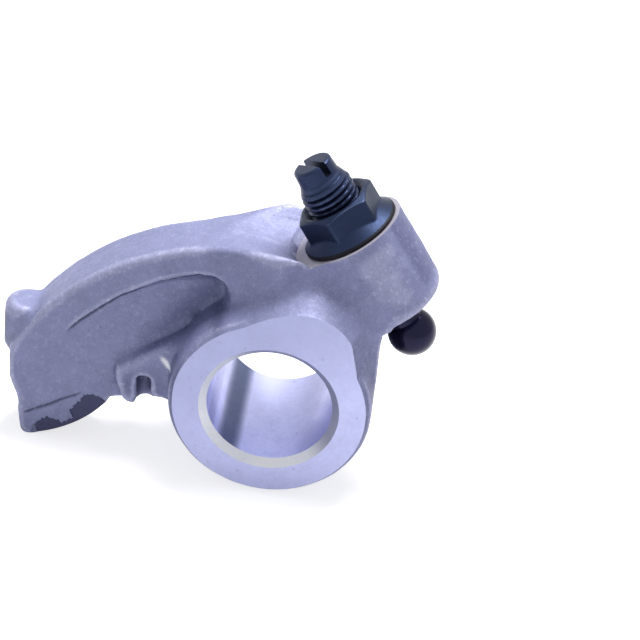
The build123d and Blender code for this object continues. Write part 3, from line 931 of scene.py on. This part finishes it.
screw = make_screw()
cut(screw, [slot_cutter()])
screw.data.set_sharp_from_angle(angle=radians(35))
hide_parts("adjusting_screw")
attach(screw, "screw")


# ---------------------------------------------------------------- lock nut
def soft_min(first, second, sharpness):
    """The lesser of two values, with their meeting rounded, less so at a higher sharpness."""
    return -np.log(np.exp(-first * sharpness) + np.exp(-second * sharpness)) / sharpness


def make_nut():
    """A closed ring whose rows run round its section: up the outside, over the top, down the bore and under
    the base. The outside radius is the larger of a conical flange and a hexagon trimmed by a 30 degree cone,
    with softly rounded meetings."""
    columns, edge_break, base_radii = 288, 0.12, [5.4, 6.4]
    flat_radius, mouth = NUT_FLATS / 2, THREAD_RADIUS + 0.75
    turn = np.linspace(0, 2 * pi, columns, endpoint=False)
    sector = np.mod(turn - radians(NUT_CORNER), pi / 3) - pi / 6
    hexagon = np.minimum(flat_radius / np.cos(sector), flat_radius / cos(pi / 6) - edge_break)
    outside = np.concatenate([[0, edge_break], np.linspace(0.3, 2.6, 20), np.linspace(2.7, NUT_HEIGHT, 36)])
    outside = outside[:, None]
    lip_knots = [
        (0, FLANGE_RADIUS - 0.15), (edge_break, FLANGE_RADIUS), (FLANGE_RIM - 0.15, FLANGE_RADIUS),
        (FLANGE_RIM + 0.05, FLANGE_RADIUS - 0.2), (FLANGE_HEIGHT, flat_radius - 0.1), (NUT_HEIGHT, 0),
    ]
    lip = np.interp(outside, *zip(*lip_knots))
    cone = flat_radius - 0.3 + (NUT_HEIGHT - outside) / tan(radians(30))
    body = soft_min(hexagon, cone, 14)
    outer = np.minimum(-soft_min(-body, -lip, 9), FLANGE_RADIUS)
    inner = [
        (NUT_HEIGHT, 4.95), (NUT_HEIGHT, 4.85), (NUT_HEIGHT, mouth + 0.05), (NUT_HEIGHT - 0.05, mouth),
        *((height, HOLE_RADIUS) for height in np.linspace(NUT_HEIGHT - 0.8, 0.8, 6)),
        (0.0, HOLE_RADIUS + 0.6), *((0.0, radius) for radius in base_radii),
    ]
    inner_heights, inner_radii = np.array(inner).T[:, :, None]
    heights = np.repeat(np.vstack([outside, inner_heights]), columns, 1)
    radii = np.vstack([outer, np.repeat(inner_radii, columns, 1)])
    points = turned_points(SEAT, AXIS, ACROSS, SIDE, heights, radii, turn)
    faces = facing_out(tube_faces(len(heights), columns, True), AXIS, ACROSS, SIDE)
    nut = mesh_piece("lock_nut_flanged", points.reshape(-1, 3), faces, 30)
    # the chamfer's edge carries wear and, most towards the front at 64.5 degrees, a painted highlight; the faint
    # lighter band just above the flange's rim is a painted highlight; the hexagon's corners show wear
    front = bell(turn - radians(64.5), radians(24))
    rim_wear_and_highlight = bell(hexagon - cone, 0.10) * (0.25 + 0.75 * front)
    corner_worn = bell(np.abs(sector) - pi / 6, 0.035) * (body > lip + 0.05)
    wear_and_highlight = np.clip(rim_wear_and_highlight + 0.25 * corner_worn + 0.07 * bell(outside - FLANGE_RIM, 0.12), 0, 1)
    write_value(nut.data, "edge", np.vstack([wear_and_highlight, np.zeros((len(inner), columns))]).ravel())
    # the flange's rim takes the near-black material: a painted shadow
    rim = faces_within(nut.data, screw_heights(nut.data) < FLANGE_RIM + 0.1)
    two_materials(nut, nut_steel, rim_shadow_steel, rim)
    return nut


nut = make_nut()
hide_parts("lock_nut")
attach(nut, "nut")


# ---------------------------------------------------------------- floor, light and camera
CAMERA_ROLL = radians(5.5)
CAMERA_LEFT = asin(0.089)
CAMERA_DOWN = asin(0.527 / cos(CAMERA_LEFT))
# the near ring face from the camera: how far, and where its middle lies to the right and up, in mm
NEAR_FACE_DISTANCE = 350.0
NEAR_FACE_OFFSET = (-7.68, -13.386)
FOCAL_PIXELS = 2352.0
IMAGE_PIXELS = 640.0
FLOOR_GLOW = 0.72
AMBIENT = 0.44


def make_camera():
    """Looks down and a little to the left at the near ring face, and is rolled about the bore's axis."""
    right = np.array([cos(CAMERA_LEFT), sin(CAMERA_LEFT), 0.0])
    level = np.array([sin(CAMERA_LEFT), -cos(CAMERA_LEFT), 0.0])
    back = level * cos(CAMERA_DOWN) + np.array([0.0, 0.0, sin(CAMERA_DOWN)])
    up = np.cross(back, right)
    place = (
        np.array([0.0, -FACE_Y, 0.0])
        - right * NEAR_FACE_OFFSET[0]
        - up * NEAR_FACE_OFFSET[1]
        + back * NEAR_FACE_DISTANCE
    )
    matrix = np.eye(4)
    matrix[:3, :3] = np.stack([right, up, back], -1)
    matrix[:3, 3] = place * MM
    data = bpy.data.cameras.new("camera")
    data.sensor_width = 36.0
    data.lens = data.sensor_width * FOCAL_PIXELS / IMAGE_PIXELS
    data.clip_start, data.clip_end = 0.01, 20.0
    camera = bpy.data.objects.new("camera", data)
    camera.matrix_world = Matrix.Rotation(-CAMERA_ROLL, 4, "Y") @ Matrix(matrix.tolist())
    bpy.context.scene.collection.objects.link(camera)
    bpy.context.scene.camera = camera


def make_lamp(name, place, target, size, power, colour):
    """A soft square lamp in mm, pointing at a target."""
    data = bpy.data.lights.new(name, "AREA")
    data.shape, data.size, data.energy, data.color = "SQUARE", size * MM, power, colour
    lamp = bpy.data.objects.new(name, data)
    lamp.location = Vector(place) * MM
    way = Vector(target) - Vector(place)
    lamp.rotation_euler = way.to_track_quat("-Z", "Y").to_euler()
    bpy.context.scene.collection.objects.link(lamp)


def seen_rays(tree):
    """1 for rays from the camera and for reflected or refracted ones, else 0."""
    path = add(tree, "LightPath", {}).outputs
    either = math(tree, "MAXIMUM", path["Is Camera Ray"], path["Is Glossy Ray"])
    return math(tree, "MAXIMUM", either, path["Is Transmission Ray"])


def make_floor():
    """A wide pale disc that the arm stands on; to the camera it is white where the shadow ends."""
    radius, count = 3000.0, 64
    turn = np.linspace(0, 2 * pi, count, endpoint=False)
    points = np.stack([radius * np.cos(turn), radius * np.sin(turn), np.full(count, FLOOR_Z)], -1)
    floor = mesh_piece("floor", points, [list(range(count))])
    material = bpy.data.materials.new("floor")
    material.use_nodes = True
    tree = material.node_tree
    tree.nodes.clear()
    diffuse = add(tree, "BsdfDiffuse", {"Color": (0.66, 0.66, 0.68, 1)}).outputs[0]
    strength = math(tree, "MULTIPLY", seen_rays(tree), FLOOR_GLOW)
    glow = add(tree, "Emission", {"Strength": strength}).outputs[0]
    total = add(tree, "AddShader", {0: diffuse, 1: glow}).outputs[0]
    add(tree, "OutputMaterial", {"Surface": total})
    floor.data.materials.append(material)


def make_world():
    """White to the camera and to reflected rays, and a dimmer pale light on everything else."""
    world = bpy.data.worlds.new("studio")
    bpy.context.scene.world = world
    world.use_nodes = True
    tree = world.node_tree
    tree.nodes.clear()
    ambient = add(tree, "Background", {"Color": (0.75, 0.76, 0.80, 1), "Strength": AMBIENT}).outputs[0]
    white = add(tree, "Background", {"Color": (1, 1, 1, 1)}).outputs[0]
    mixed = add(tree, "MixShader", {0: seen_rays(tree), 1: ambient, 2: white}).outputs[0]
    add(tree, "OutputWorld", {"Surface": mixed})


make_camera()
make_floor()
make_world()
make_lamp("key", (60, 120, 460), (0, 0, 0), 220, 3.2, (1.0, 0.98, 0.95))
bpy.context.scene.view_settings.view_transform = "Standard"
